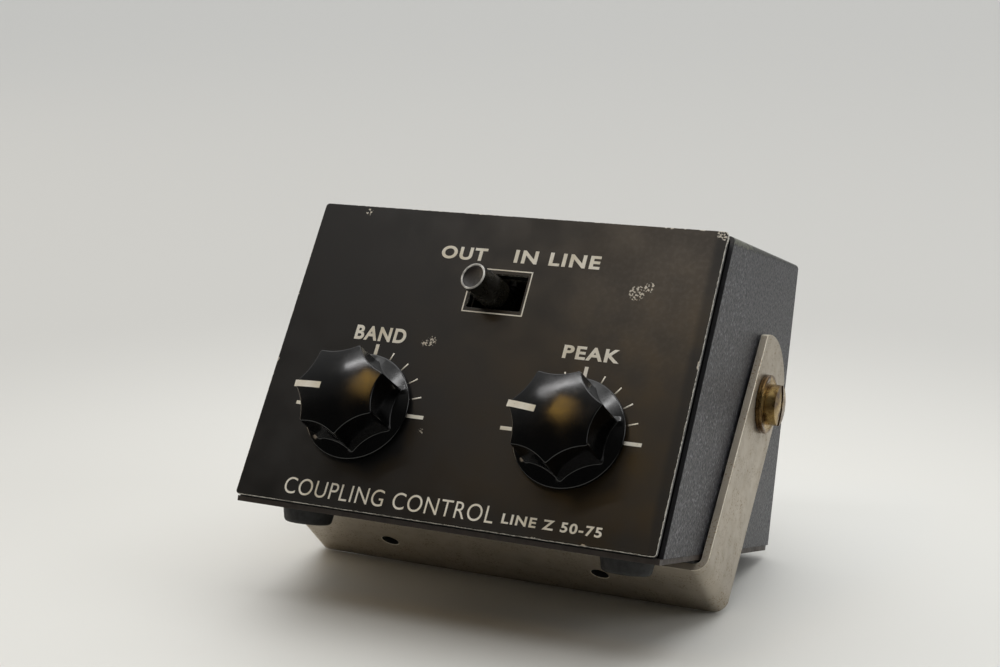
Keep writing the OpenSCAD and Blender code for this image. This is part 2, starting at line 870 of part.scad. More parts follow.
module socket_screws() {
    color(steel) each_flange_screw() translate([0, 0, flange_t])
        case_screw(socket_screw_len);
}

module socket_nuts() {
    color(steel) each_flange_screw() translate([0, 0, -sheet_t - case_nut_h])
        case_nut();
}

// Solder tag under the inner lower nut of the left socket
module ground_lug() {
    color(brass) on_rear(LEFT * socket_x, socket_z)
        translate([flange_screw, flange_screw, -sheet_t - case_nut_h - gap - lug_t]) difference() {
            union() {
                cylinder(r = 3, h = lug_t);
                translate([0, -1.5, 0]) cube([lug_len, 3, lug_t]);
            }
            translate([0, 0, -1]) cylinder(r = case_hole_r, h = 3);
        }
}

// ---------------------------------------------------------------- coil

module on_coil() {
    in_case() translate([0, coil_y, coil_z]) rotate([0, 90, 0]) children();
}

module coil_former() {
    color("ivory") on_coil() difference() {
        union() {
            for (z = [-former_len / 2, former_len / 2 - former_cheek])
                translate([-cheek_half, -cheek_half, z])
                    cube([2 * cheek_half, 2 * cheek_half, former_cheek]);
            translate([0, 0, -former_len / 2]) cylinder(r = former_r, h = former_len);
        }
        translate([0, 0, -former_len]) cylinder(r = former_r - 1.2, h = 2 * former_len);
        for (s = SIDES) translate([0, cheek_half - 4, s * (former_len / 2 - 1)]) rotate([-90, 0, 0])
            cylinder(r = coil_screw_r + gap, h = 5);
    }
}

// Bare copper wound as one helix that begins and ends under the former
module coil_winding() {
    r = (former_r + wire_r + gap) / cos(180 / turn_steps);
    steps = turns * turn_steps;
    path = [for (i = [0 : steps])
        let (a = 360 * i / turn_steps) [r * cos(a), r * sin(a), coil_span * (i / steps - 0.5)]];
    color([0.72, 0.4, 0.22]) on_coil() swept_wire(path, wire_r, [0, 0, 1], 6);
}

module coil_screws() {
    color(steel) for (s = SIDES) on_rear(s * (former_len / 2 - 1), coil_z)
        slotted_screw(coil_screw_r, 4, 1.4, 0.9, 0.4);
}

// ---------------------------------------------------------------- wiring

// Ends of the things that wires are soldered to, in case coordinates
function contact_end(i, j) =
    panel_pt(i * contact_pitch, switch_y + j * contact_row, body_back - contact_tail - solder);

function rod_tail(side, s) = panel_pt(side * knob_x + s * rod_at, knob_y + rod_at, rod_end - solder);

function socket_tail(side) = [side * socket_x, contact_in - solder, socket_z];

function coil_tail(side) = [side * coil_span / 2, coil_y, coil_z - former_r - 2 * wire_r - 2 * gap];

function lug_tail() = [flange_screw - socket_x + lug_len + hookup_r, -sheet_t - case_nut_h,
                       socket_z - flange_screw];

inward = panel_pt(0, 0, -1) - panel_pt(0, 0, 0);
sideways = [1, 0, 0];
upwards = [0, 0, 1];

module left_socket_wire() {
    color("firebrick")
        hookup(socket_tail(LEFT), [0, -14, 0], 12 * inward, contact_end(-1, -1), upwards);
}

module right_socket_wire() {
    color("steelblue")
        hookup(socket_tail(RIGHT), [0, -14, 0], 12 * inward, contact_end(1, -1), upwards);
}

module left_stator_wire() {
    color("goldenrod")
        hookup(rod_tail(LEFT, 1), 10 * inward, 10 * inward, contact_end(0, -1), sideways);
}

module right_stator_wire() {
    color("seagreen")
        hookup(rod_tail(RIGHT, -1), 8 * inward, 8 * inward, contact_end(0, 1), sideways);
}

module left_coil_wire() {
    color("white")
        hookup(rod_tail(LEFT, -1), 10 * inward, [0, 0, -10], coil_tail(LEFT), sideways);
}

module right_coil_wire() {
    color("white")
        hookup(rod_tail(RIGHT, 1), 10 * inward, [0, 0, -10], coil_tail(RIGHT), sideways);
}

module ground_wire() {
    frame_back = panel_pt(-knob_x, knob_y - 8, cap_back - solder);
    color("black") hookup(lug_tail(), [8, 0, 0], 8 * inward, frame_back, upwards);
}

// ---------------------------------------------------------------- parts

front_plate();
chassis();
base_plate();
cover();
cover_screws();
chassis_screws();
foot_front_left();
foot_front_right();
foot_rear_left();
foot_rear_right();
foot_screws();
foot_nuts();
bracket();
pivot_screws();
pivot_washers();
spacer_washers();
pivot_nuts();
left_knob();
left_set_screw();
left_shaft();
left_rotor();
left_stator();
left_frame();
left_insulators();
left_bushing_nut();
right_knob();
right_set_screw();
right_shaft();
right_rotor();
right_stator();
right_frame();
right_insulators();
right_bushing_nut();
switch_lever();
switch_pin();
switch_slider();
switch_frame();
switch_body();
switch_contacts();
switch_nuts();
left_socket();
left_socket_insulator();
left_socket_contact();
right_socket();
right_socket_insulator();
right_socket_contact();
socket_screws();
socket_nuts();
ground_lug();
coil_former();
coil_winding();
coil_screws();
left_socket_wire();
right_socket_wire();
left_stator_wire();
right_stator_wire();
left_coil_wire();
right_coil_wire();
ground_wire();
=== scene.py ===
"""Looks of the antenna tuner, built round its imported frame.

Lengths are in metres. A name that ends in _mm, and every texture size, is in millimetres.
Panel coordinates: x to the right, y up the slope from the middle of the printed dials, z out of the plate.
Case coordinates: x to the right, y to the back and z up in the untipped case, from the bracket's pivot.
Bracket coordinates: x to the right and z up the arms, also from the pivot.
"""
import json
import math

import bmesh
import bpy
from mathutils import Matrix, Vector


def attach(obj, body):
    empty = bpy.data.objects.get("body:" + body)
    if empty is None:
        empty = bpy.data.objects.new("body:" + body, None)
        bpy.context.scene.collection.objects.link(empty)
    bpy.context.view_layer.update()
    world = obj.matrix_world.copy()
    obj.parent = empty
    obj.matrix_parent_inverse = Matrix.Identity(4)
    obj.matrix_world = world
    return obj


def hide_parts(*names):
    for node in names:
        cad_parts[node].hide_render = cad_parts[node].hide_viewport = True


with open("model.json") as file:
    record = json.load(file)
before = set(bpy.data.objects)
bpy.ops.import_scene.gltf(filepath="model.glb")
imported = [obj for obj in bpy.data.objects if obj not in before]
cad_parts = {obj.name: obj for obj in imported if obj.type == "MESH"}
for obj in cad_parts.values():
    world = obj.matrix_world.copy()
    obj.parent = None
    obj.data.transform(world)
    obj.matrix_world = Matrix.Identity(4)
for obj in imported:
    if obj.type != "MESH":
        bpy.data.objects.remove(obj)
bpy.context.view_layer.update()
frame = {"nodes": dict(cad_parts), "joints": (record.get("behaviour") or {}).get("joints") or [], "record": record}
MM = 0.001
RIGHT = Vector((1, 0, 0))
DIAL_DROP = 0.4                          # the dials are printed this far below the shafts


# ------------------------------------------------------------------ frames

def row(rows, name):
    """The entry of that name in a list of the record"""
    return next(r for r in rows if r["name"] == name)


def axes(origin, x, y, z):
    """Matrix of a local frame, from its origin and its three directions"""
    matrix = Matrix((x, y, z)).transposed().to_4x4()
    matrix.translation = origin
    return matrix


OUT = Vector(row(frame["joints"], "left_knob_turn")["axis"])
UP_SLOPE = Vector(row(frame["joints"], "lever_tilt")["axis"])
KNOB = {side: Vector(row(frame["joints"], f"{side}_knob_turn")["pos_m"]) for side in ("left", "right")}
PANEL = axes((KNOB["left"] + KNOB["right"]) / 2 - UP_SLOPE * DIAL_DROP * MM, RIGHT, UP_SLOPE, OUT)
BACK = Vector(row(frame["record"]["mounts"], "left_socket_barrel")["axis"])
PIVOT = Vector(row(frame["joints"], "bracket_tilt")["pos_m"])
FIXING_HOLES = [Vector(row(frame["record"]["mounts"], f"bracket_fixing_{side}")["pos_m"])
                for side in ("left", "right")]
CASE = axes(PIVOT, RIGHT, BACK, RIGHT.cross(BACK))
DOWN_ARM = Vector(row(frame["record"]["mounts"], "bracket_fixing_left")["axis"])
BRACKET = axes(PIVOT, RIGHT, RIGHT.cross(DOWN_ARM), -DOWN_ARM)


def local_box(node, place):
    """Lowest and highest corner of a CAD node in a local frame"""
    back = place.inverted()
    points = [back @ v.co for v in frame["nodes"][node].data.vertices]
    return (Vector([min(p[i] for p in points) for i in range(3)]),
            Vector([max(p[i] for p in points) for i in range(3)]))


PLATE_LOW, PLATE_HIGH = local_box("front_plate", PANEL)
LEVER_PIVOT = Vector(row(frame["joints"], "lever_tilt")["pos_m"])
LEVER_Y = (PANEL.inverted() @ LEVER_PIVOT).y / MM


# ------------------------------------------------------------------ materials

def srgb(red, green, blue):
    """Linear colour of one given as 0 to 255"""
    def linear(v):
        v /= 255
        return v / 12.92 if v <= 0.04045 else ((v + 0.055) / 1.055) ** 2.4
    return (linear(red), linear(green), linear(blue), 1.0)


class Finish:
    """One procedural material, textured in the piece's own frame"""

    def __init__(self, name, color, rough, metal=0.0, **sockets):
        self.material = bpy.data.materials.new(name)
        self.material.use_nodes = True
        self.tree = self.material.node_tree
        self.bsdf = self.tree.nodes["Principled BSDF"]
        self.set("Base Color", color)
        self.set("Roughness", rough)
        self.set("Metallic", metal)
        for socket, value in sockets.items():
            self.set(socket.replace("_", " "), value)
        self.place = self.node("ShaderNodeTexCoord").outputs["Object"]

    def join(self, socket, value):
        if isinstance(value, bpy.types.NodeSocket):
            self.tree.links.new(value, socket)
        else:
            socket.default_value = value

    def set(self, socket, value):
        self.join(self.bsdf.inputs[socket], value)

    def node(self, kind, inputs=None, **settings):
        made = self.tree.nodes.new(kind)
        for key, value in settings.items():
            setattr(made, key, value)
        for key, value in (inputs or {}).items():
            self.join(made.inputs[key], value)
        return made

    def noise(self, size, detail=2.0, place=None):
        return self.node("ShaderNodeTexNoise", {
            "Vector": place or self.place, "Scale": 1 / (size * MM), "Detail": detail}).outputs["Fac"]

    def cells(self, size, place):
        return self.node("ShaderNodeTexVoronoi", {
            "Vector": place, "Scale": 1 / (size * MM)}, feature="SMOOTH_F1").outputs["Distance"]

    def stretch(self, x, y, z):
        return self.node("ShaderNodeMapping", {"Vector": self.place, "Scale": (x, y, z)}).outputs["Vector"]

    def math(self, operation, a, b=0.0):
        return self.node("ShaderNodeMath", {0: a, 1: b}, operation=operation).outputs[0]

    def span(self, value, low, high, to_low=0.0, to_high=1.0):
        """value from low to high, mapped smoothly to the other two numbers"""
        return self.node("ShaderNodeMapRange", {
            "Value": value, "From Min": low, "From Max": high, "To Min": to_low, "To Max": to_high,
        }, interpolation_type="SMOOTHSTEP").outputs["Result"]

    def mix(self, share, a, b):
        return self.node("ShaderNodeMix", {0: share, 6: a, 7: b}, data_type="RGBA").outputs[2]

    def parts(self):
        return self.node("ShaderNodeSeparateXYZ", {0: self.place}).outputs

    def bump(self, height, depth, strength):
        inputs = {"Height": height, "Distance": depth * MM, "Strength": strength}
        self.set("Normal", self.node("ShaderNodeBump", inputs).outputs["Normal"])

    def near(self, x, y, radius):
        """1 at a point of the piece's x-y plane, falling to 0 at the radius"""
        flat = self.node("ShaderNodeVectorMath", {0: self.place, 1: (1, 1, 0)}, operation="MULTIPLY")
        away = self.node("ShaderNodeVectorMath", {0: flat.outputs[0], 1: (x * MM, y * MM, 0)},
                         operation="DISTANCE")
        return self.span(away.outputs["Value"], 0.0, radius * MM, 1.0, 0.0)


def plate_paint():
    """Satin black on the front plate: a painted warm reflection to the right, painted shade along its right and
    lower edges, scuffed at the top right, a few chips
    """
    f = Finish("plate_paint", srgb(26, 26, 26), 0.36, Specular_IOR_Level=0.3)
    x, y, _ = f.parts()
    # Painted reflection: a warm brown cloud over the right of the plate stands in for the warm lamp's reflection
    warm_reflection = f.math("MULTIPLY", f.span(x, -0.030, 0.045), f.span(f.noise(20, 4), 0.3, 0.7, 0.55, 1.0))
    color = f.mix(warm_reflection, srgb(20, 20, 21), srgb(46, 36, 20))
    scuff = f.math("MULTIPLY", f.near(42, 40, 36), f.span(f.noise(1.2, 6), 0.4, 0.7, 0.62, 1.0))
    color = f.mix(f.math("MULTIPLY", scuff, 0.5), color, srgb(92, 85, 77))
    dust = f.span(f.noise(0.4, 2), 0.7, 0.82, 0.0, 0.28)
    color = f.mix(dust, color, srgb(96, 93, 88))
    chips = None
    for at_x, at_y, radius in CHIPS:
        spot = f.math("MULTIPLY", f.near(at_x, at_y, radius), f.span(f.noise(0.55, 3), 0.5, 0.56))
        chips = spot if chips is None else f.math("MAXIMUM", chips, spot)
    chips = f.span(chips, 0.25, 0.4)
    side = f.math("SUBTRACT", PLATE_HIGH.x, f.math("ABSOLUTE", x))
    ends = f.math("MINIMUM", f.math("SUBTRACT", y, PLATE_LOW.y), f.math("SUBTRACT", PLATE_HIGH.y, y))
    edge = f.math("MINIMUM", side, ends)
    ragged = f.math("ADD", f.span(f.noise(0.9, 4), 0.3, 0.75, 0.0, 0.00016),
                    f.span(f.noise(3.1, 4), 0.62, 0.7, 0.0, 0.00035))
    # Painted shade: the face is darkened nearly to black along its right edge and its lower edge
    black = f.span(f.math("SUBTRACT", PLATE_HIGH.x, x), 0.0015, 0.0034, 1.0, 0.0)
    black = f.math("MAXIMUM", black, f.span(f.math("SUBTRACT", y, PLATE_LOW.y), 0.002, 0.009, 0.8, 0.0))
    color = f.mix(f.math("MULTIPLY", black, 0.85), color, srgb(9, 9, 9))
    bare = f.math("MAXIMUM", f.math("LESS_THAN", edge, ragged), chips)
    f.set("Base Color", f.mix(bare, color, srgb(176, 172, 162)))
    f.set("Metallic", f.math("MULTIPLY", bare, 0.5))
    f.set("Roughness", f.span(f.noise(9, 5), 0.3, 0.75, 0.3, 0.46))
    f.bump(f.noise(0.5, 3), 0.012, 0.4)
    return f.material


def plate_edge():
    """The cut edge of the plate: black paint gone through to bare metal along its front, most at the upper corners
    and along the top, where the wider bare band is partly wear and partly painted highlight
    """
    f = Finish("plate_edge", srgb(190, 187, 178), 0.42, metal=0.3)
    _, y, z = f.parts()
    wear_and_highlight = f.span(f.noise(1.7, 5), 0.35, 0.65, 0.0002, 0.0005)
    # Partly wear, partly painted highlight: the bare band is widened along the top edge and the upper corners
    corner = f.span(y, PLATE_HIGH.y - 0.0032, PLATE_HIGH.y - 0.0014, 0.0, 0.0014)
    depth = f.math("SUBTRACT", PLATE_HIGH.z, z)
    bare = f.math("LESS_THAN", depth, f.math("ADD", wear_and_highlight, corner))
    metal = f.mix(f.span(f.noise(0.7, 4), 0.5, 0.62), srgb(214, 210, 200), srgb(104, 96, 84))
    f.set("Base Color", f.mix(bare, srgb(14, 14, 14), metal))
    f.set("Metallic", f.math("MULTIPLY", bare, 0.35))
    f.bump(f.noise(0.4, 2), 0.02, 0.4)
    return f.material


def chassis_black():
    """Satin black enamel with a little dust"""
    f = Finish("chassis_black", srgb(20, 20, 20), 0.5, Specular_IOR_Level=0.35)
    dust = f.span(f.noise(5, 6), 0.5, 0.8, 0.0, 0.4)
    f.set("Base Color", f.mix(dust, srgb(9, 9, 10), srgb(34, 34, 34)))
    f.set("Roughness", f.span(f.noise(4, 4), 0.3, 0.7, 0.42, 0.62))
    f.bump(f.noise(0.6, 3), 0.015, 0.5)
    return f.material


def hammertone():
    """Blue-grey leather-grained enamel; painted glints and grain shade near the front, painted shade round the top
    bend, and a greenish patch there that is partly wear, partly painted highlight
    """
    f = Finish("hammertone", srgb(78, 79, 83), 0.42, Specular_IOR_Level=0.45)
    _, y, z = f.parts()
    grain = f.stretch(1.0, 1.0, 0.7)
    dimple = f.cells(0.42, grain)
    fine = f.noise(0.26, 4, grain)
    color = f.mix(f.span(dimple, 0.15, 0.6), srgb(74, 75, 81), srgb(44, 45, 50))
    color = f.mix(f.span(f.noise(18, 5), 0.32, 0.7, 0.0, 0.55), color, srgb(58, 59, 62))
    front = f.span(y, COVER_FRONT, COVER_FRONT + 0.034, 1.0, 0.12)
    coarse = f.noise(0.8, 4)
    # Painted highlight: pale glints in the grain near the front edge; painted shade: dark flecks in the grain
    # there
    light = f.math("MULTIPLY", f.span(coarse, 0.55, 0.66, 0.0, 0.6), front)
    painted_grain_shade = f.math("MULTIPLY", f.span(coarse, 0.33, 0.45, 0.7, 0.0), front)
    color = f.mix(light, color, srgb(134, 134, 139))
    color = f.mix(painted_grain_shade, color, srgb(24, 24, 27))
    pits = f.span(f.noise(1.3, 1), 0.8, 0.84)
    color = f.mix(pits, color, srgb(30, 30, 32))
    # Painted shade: a dark band just under the top bend, widest at the front
    under = f.math("SUBTRACT", CASE_TOP, z)
    width = f.span(y, COVER_FRONT, COVER_FRONT + 0.055, 0.0020, 0.0009)
    width = f.math("ADD", width, f.span(f.noise(1.6, 4), 0.3, 0.7, -0.0003, 0.0003))
    inside = f.math("SUBTRACT", width, under)
    bend = f.span(inside, -0.0001, 0.0001)
    color = f.mix(f.math("MULTIPLY", bend, 0.9), color, srgb(22, 23, 22))
    # Partly wear, partly painted highlight: a pale greenish patch on the bend near its front
    wear_and_highlight = f.math("MULTIPLY", f.span(inside, 0.0002, 0.0004), f.span(under, 0.0001, 0.0003))
    wear_and_highlight = f.math("MULTIPLY", wear_and_highlight, f.span(y, COVER_FRONT + 0.014, COVER_FRONT + 0.0155, 1.0, 0.25))
    wear_and_highlight = f.math("MULTIPLY", wear_and_highlight, f.span(f.noise(1.1, 5), 0.3, 0.6, 0.45, 1.0))
    color = f.mix(wear_and_highlight, color, srgb(98, 100, 86))
    f.set("Base Color", color)
    f.set("Roughness", f.span(dimple, 0.1, 0.8, 0.34, 0.5))
    f.bump(f.math("ADD", dimple, f.math("MULTIPLY", fine, 0.8)), 0.14, 1.0)
    return f.material


def plated_steel(name, color, warm, rough=0.38, grain=1.2, metal=0.85):
    """Dull nickel or zinc plate, speckled where it has gone off"""
    f = Finish(name, color, rough, metal=metal)
    speck = f.math("MULTIPLY", f.span(f.noise(0.45, 4), 0.53, 0.66), f.span(f.noise(6, 4), 0.38, 0.6))
    cloudy = f.span(f.noise(11, 5), 0.3, 0.75, 0.0, 0.7)
    tone = f.mix(cloudy, color, tuple(c * 0.82 for c in color[:3]) + (1,))
    f.set("Base Color", f.mix(f.math("MULTIPLY", speck, 0.7), tone, warm))
    f.set("Roughness", f.span(f.noise(3, 5), 0.3, 0.75, rough - 0.08, rough + 0.14))
    f.bump(f.noise(grain, 5), 0.02, 0.6)
    return f.material


def tarnished_brass():
    """Brass browned by handling, in the lathe's rings, with fine turning marks"""
    f = Finish("tarnished_brass", srgb(150, 126, 80), 0.34, metal=0.85)
    _, y, z = f.parts()
    flat = f.node("ShaderNodeCombineXYZ", {"Y": y, "Z": z}).outputs[0]
    away = f.node("ShaderNodeVectorMath", {0: flat}, operation="LENGTH").outputs["Value"]
    wander = f.math("ADD", away, f.span(f.noise(3.0, 4), 0.3, 0.7, -0.0005, 0.0005))
    outer = f.span(wander, 0.0058, 0.0068)
    color = f.mix(f.span(f.noise(3.5, 5), 0.4, 0.62), srgb(172, 146, 94), srgb(92, 68, 34))
    f.set("Base Color", f.mix(f.math("MULTIPLY", outer, 0.75), color, srgb(70, 48, 24)))
    f.set("Roughness", f.span(f.noise(2.0, 4), 0.3, 0.7, 0.22, 0.38))
    turning = f.node("ShaderNodeTexWave", {"Vector": f.node("ShaderNodeCombineXYZ", {"X": away}).outputs[0],
                                           "Scale": 900.0, "Distortion": 2.0, "Detail": 2.0}).outputs["Fac"]
    f.bump(f.math("ADD", turning, f.noise(0.35, 3)), 0.006, 0.6)
    return f.material


def knob_gloss():
    """Polished black phenolic with a film of dust and fine scratches"""
    f = Finish("knob_gloss", srgb(4, 4, 4), 0.13, Specular_IOR_Level=0.5)
    film = f.span(f.noise(7, 6), 0.45, 0.78, 0.0, 0.3)
    f.set("Base Color", f.mix(film, srgb(2, 2, 2), srgb(9, 9, 9)))
    f.set("Roughness", f.span(f.noise(5, 5), 0.3, 0.75, 0.1, 0.19))
    f.bump(f.noise(1.6, 4), 0.004, 0.3)
    return f.material


def moulded(name, color, rough=0.5, mottle=0.25, size=3.0, depth=0.01):
    """Plain moulded, fired or dipped stuff: a little uneven in tone and gloss"""
    f = Finish(name, color, rough)
    darker = tuple(c * (1 - mottle) for c in color[:3]) + (1,)
    f.set("Base Color", f.mix(f.span(f.noise(size, 5), 0.35, 0.7), color, darker))
    f.set("Roughness", f.span(f.noise(size / 2, 4), 0.3, 0.7, rough - 0.07, rough + 0.1))
    f.bump(f.noise(size / 6, 3), depth, 0.6)
    return f.material


def ink():
    """White screen-printed ink, yellowed and a little worn"""
    f = Finish("white_ink", srgb(226, 219, 200), 0.55)
    wear_and_highlight = f.span(f.noise(0.45, 4), 0.58, 0.82, 0.0, 0.4)
    tone = f.mix(f.span(f.noise(6, 3), 0.35, 0.7), srgb(236, 231, 218), srgb(218, 209, 188))
    f.set("Base Color", f.mix(wear_and_highlight, tone, srgb(120, 112, 96)))
    f.bump(f.noise(0.3, 2), 0.01, 0.4)
    return f.material


# Where the paint of the plate is chipped: x, y and reach in panel millimetres
CHIPS = [(33.3, 35.0, 3.0), (35.9, 36.6, 2.0), (-12.8, 18.6, 2.0), (-14.4, 18.0, 1.5), (-9.2, -3.2, 1.1),
         (-38.6, 50.1, 1.5), (50.1, 50.8, 2.6)]
CASE_TOP = local_box("cover", CASE)[1].z
COVER_FRONT = min(p.y for p in (CASE.inverted() @ v.co for v in frame["nodes"]["cover"].data.vertices)
                  if p.z > CASE_TOP - 0.002)
MATERIALS = {
    "front_plate": plate_paint(),
    "chassis_black": chassis_black(),
    "hammer_grey": hammertone(),
    "bracket_steel": plated_steel("nickel_strip", srgb(182, 172, 156), srgb(120, 96, 62), 0.4, metal=0.55),
    "brass": tarnished_brass(),
    "plated_screw": plated_steel("zinc_screw", srgb(178, 178, 180), srgb(120, 104, 80), 0.34),
    "rubber": moulded("foot_rubber", srgb(26, 26, 26), 0.62, 0.35, 2.5, 0.02),
    "knob_plastic": knob_gloss(),
    "lever_plastic": moulded("lever_black", srgb(24, 22, 16), 0.26, 0.4, 4.0, 0.002),
    "fibre": moulded("black_fibre", srgb(26, 25, 25), 0.6),
    "vane_aluminium": plated_steel("vane_aluminium", srgb(206, 207, 210), srgb(160, 158, 150), 0.3),
    "frame_plated": plated_steel("frame_plate", srgb(184, 179, 168), srgb(138, 112, 76)),
    "ceramic": moulded("white_ceramic", srgb(226, 222, 212), 0.35, 0.12, 4.0),
    "phenolic": moulded("brown_laminate", srgb(104, 58, 30), 0.45, 0.35, 1.5),
    "socket_nickel": plated_steel("socket_nickel", srgb(192, 188, 180), srgb(146, 120, 84), 0.3),
    "copper": plated_steel("bare_copper", srgb(196, 122, 82), srgb(120, 62, 36), 0.3),
    "wire_red": moulded("red_wire", srgb(170, 34, 28)),
    "wire_blue": moulded("blue_wire", srgb(48, 88, 160)),
    "wire_yellow": moulded("yellow_wire", srgb(206, 168, 44)),
    "wire_green": moulded("green_wire", srgb(44, 122, 66)),
    "wire_white": moulded("white_wire", srgb(214, 212, 204)),
    "wire_black": moulded("black_wire", srgb(26, 26, 26)),
}
SLOT = {part["node"]: part["material_slot"] for part in frame["record"]["subparts"]}
INK = ink()
BODY = {n: body for body, members in frame["record"]["behaviour"]["bodies"].items() for n in members}


# ------------------------------------------------------------------ making pieces

CREASE = math.radians(50)                # edges sharper than this are shaded sharp
BEVELLED = math.radians(35)              # edges sharper than this are rounded over
COPLANAR = math.radians(0.4)             # faces closer than this count as one flat face


def place_piece(name, bm, place, materials, body, stands_for=()):
    """Turn a bmesh drawn in a local frame into a piece that rides on a body"""
    for edge in bm.edges:
        edge.smooth = len(edge.link_faces) != 2 or edge.calc_face_angle(0.0) < CREASE
    for face in bm.faces:
        face.smooth = True
    mesh = bpy.data.meshes.new(name)
    bm.to_mesh(mesh)
    bm.free()
    for material in materials:
        mesh.materials.append(material)
    made = bpy.data.objects.new(name, mesh)
    bpy.context.scene.collection.objects.link(made)
    made.matrix_world = place
    shading = made.modifiers.new("even_normals", "WEIGHTED_NORMAL")
    shading.keep_sharp = True
    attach(made, body)
    if stands_for:
        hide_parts(*stands_for)


def cad_mesh(node, place):
    """A CAD node's mesh, welded and with its flat faces whole, in a local frame"""
    bm = bmesh.new()
    bm.from_mesh(frame["nodes"][node].data)
    bmesh.ops.remove_doubles(bm, verts=bm.verts, dist=2e-6)
    bmesh.ops.dissolve_limit(bm, angle_limit=COPLANAR, verts=bm.verts, edges=bm.edges)
    bm.transform(place.inverted())
    bm.normal_update()
    return bm


def soften(bm, width, segments=2):
    """Round every sharp edge by a width in millimetres"""
    sharp = [e for e in bm.edges if len(e.link_faces) == 2 and e.calc_face_angle(0.0) > BEVELLED]
    bmesh.ops.bevel(bm, geom=sharp, offset=width * MM, segments=segments, profile=0.5,
                    affect="EDGES", clamp_overlap=True, material=0)
    return bm


def softened(node, width, segments=2, materials=None):
    """A CAD node of the case with its edges broken as they are on the real thing"""
    slot = SLOT[node]
    bm = soften(cad_mesh(node, CASE), width, segments)
    place_piece(f"{node}_made", bm, CASE, materials or [MATERIALS[slot]], BODY[node], [node])


def rings(bm, loops):
    """Skin a list of equally long loops of points and close both ends"""
    made = [[bm.verts.new(p) for p in loop] for loop in loops]
    for low, high in zip(made, made[1:]):
        for i in range(len(low)):
            j = (i + 1) % len(low)
            bm.faces.new((low[i], low[j], high[j], high[i]))
    bm.faces.new(reversed(made[0]))
    bm.faces.new(made[-1])
    return bm


def turned(profile, count=64, ripple=None):
    """A closed ring of (radius, height) points turned round z; ripple adds to a radius by angle and height"""
    bm = bmesh.new()
    columns = []
    for i in range(count):
        a = math.tau * i / count
        column = []
        for r, z in profile:
            r += ripple(a, z, r) if ripple else 0.0
            column.append(bm.verts.new(Vector((r * math.cos(a), r * math.sin(a), z)) * MM))
        columns.append(column)
    for here, there in zip(columns, columns[1:] + columns[:1]):
        for i in range(len(profile)):
            j = (i + 1) % len(profile)
            bm.faces.new((here[i], there[i], there[j], here[j]))
    bmesh.ops.recalc_face_normals(bm, faces=bm.faces)
    return bm


def arc(x, y, radius, start, end, steps=5):
    """Points of an arc, angles in degrees"""
    turns = [math.radians(start + (end - start) * i / steps) for i in range(steps + 1)]
    return [(x + radius * math.cos(t), y + radius * math.sin(t)) for t in turns]


def round_box(left, low, right, high, radius, steps=5):
    """Outline of a rectangle with round corners"""
    return (arc(right - radius, high - radius, radius, 0, 90, steps)
            + arc(left + radius, high - radius, radius, 90, 180, steps)
            + arc(left + radius, low + radius, radius, 180, 270, steps)
            + arc(right - radius, low + radius, radius, 270, 360, steps))


def flat_shape(outline, holes, low, high, edge):
    """A flat sheet with holes, its edges rounded over: millimetres, from z low to z high"""
    curve = bpy.data.curves.new("outline", "CURVE")
    curve.dimensions = "2D"
    curve.fill_mode = "BOTH"
    curve.extrude = (high - low) / 2 - edge
    curve.bevel_depth = edge
    curve.bevel_resolution = 2
    curve.offset = -edge
    for points in [outline] + [hole[::-1] for hole in holes]:
        spline = curve.splines.new("POLY")
        spline.points.add(len(points) - 1)
        for point, (x, y) in zip(spline.points, points):
            point.co = (x, y, 0, 1)
        spline.use_cyclic_u = True
    made = bpy.data.objects.new("outline", curve)
    bpy.context.scene.collection.objects.link(made)
    bpy.context.view_layer.update()
    mesh = bpy.data.meshes.new_from_object(made.evaluated_get(bpy.context.evaluated_depsgraph_get()))
    bpy.data.objects.remove(made)
    bm = bmesh.new()
    bm.from_mesh(mesh)
    bmesh.ops.remove_doubles(bm, verts=bm.verts, dist=1e-4)
    bm.transform(Matrix.Scale(MM, 4) @ Matrix.Translation((0, 0, (low + high) / 2)))
    return bm


# ------------------------------------------------------------------ front plate and lettering

def front_plate():
    """Painted sheet with openings for the lever and the shafts, bare along its cut edge"""
    low, high = PLATE_LOW / MM, PLATE_HIGH / MM
    half_w, half_h, shaft_hole_r, corner, edge = 6.7, 4.4, 4.85, 0.9, 0.14
    holes = [round_box(-half_w, LEVER_Y - half_h, half_w, LEVER_Y + half_h, 0.3, 2)]
    for side in KNOB:
        centre = (PANEL.inverted() @ KNOB[side]) / MM
        holes.append(arc(centre.x, centre.y, shaft_hole_r, 0, 350, 35))
    bm = flat_shape(round_box(low.x, low.y, high.x, high.y, corner), holes, low.z, high.z, edge)
    for face in bm.faces:
        face.material_index = 1 if abs(face.normal.z) < 0.5 else 0
    place_piece("front_plate_made", bm, PANEL, [MATERIALS["front_plate"], plate_edge()],
                "case", ["front_plate"])


INK_LOW = 0.01                           # the ink's lower and upper face, over the plate
INK_HIGH = 0.05


def bar(bm, a, b, width):
    """A thin printed bar from a to b, in millimetres on the plate"""
    a, b = Vector(a), Vector(b)
    along = (b - a).normalized()
    side = Vector((-along.y, along.x)) * width / 2
    corners = [a + side, a - side, b - side, b + side]
    rings(bm, [[Vector((c.x, c.y, z)) * MM for c in corners] for z in (INK_LOW, INK_HIGH)])


def on_circle(side, radius, degrees):
    """Point of the plate in millimetres, on a circle round the middle of a dial"""
    angle = math.radians(degrees)
    return (KNOB[side].x / MM + radius * math.cos(angle), radius * math.sin(angle))


